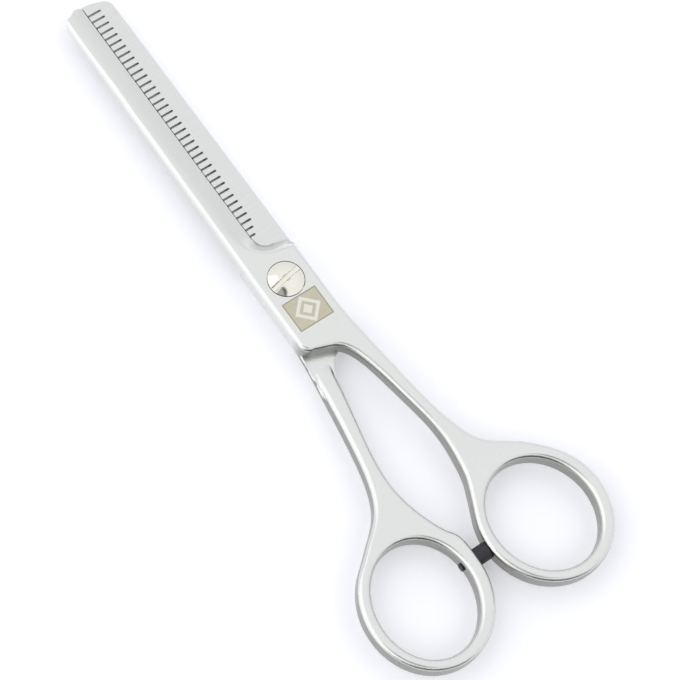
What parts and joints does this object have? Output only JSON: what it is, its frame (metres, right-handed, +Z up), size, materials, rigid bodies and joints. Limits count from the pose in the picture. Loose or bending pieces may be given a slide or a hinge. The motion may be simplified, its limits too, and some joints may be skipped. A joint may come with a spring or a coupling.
{
  "type": "thinning shears",
  "caption": "Hair thinning shears: one plain blade and one comb-toothed blade joined by a slotted pivot screw, with two finger rings and a rubber bumper.",
  "frame": {"origin": "on the pivot axis at the underside of the lower joint plate, which is the flat face that the shears lie on", "axes": "+X from the pivot towards the blade tips, +Y towards the toothed half's finger ring, +Z up through the screw head"},
  "size_m": [0.1403, 0.0511, 0.0068],
  "materials": {
    "satin_steel": "bead-blasted satin stainless steel",
    "polished_steel": "polished stainless steel",
    "washer_plastic": "moulded natural acetal",
    "bumper_rubber": "matt black rubber"
  },
  "bodies": {
    "toothed_half": {"toothed_blade_half": "satin_steel", "bumper_stop": "bumper_rubber"},
    "plain_half": {"plain_blade_half": "satin_steel", "glide_washer": "washer_plastic"},
    "screw": {"pivot_screw": "polished_steel"}
  },
  "joints": [
    {"name": "pivot", "type": "hinge", "parent": "toothed_half", "child": "plain_half", "pos_m": [0, 0, 0], "axis": [0, 0, 1], "range_deg": [0, 115]},
    {"name": "screw_turn", "type": "hinge", "parent": "toothed_half", "child": "screw", "pos_m": [0, 0, 0], "axis": [0, 0, 1], "range_deg": [-45, 45]}
  ]
}
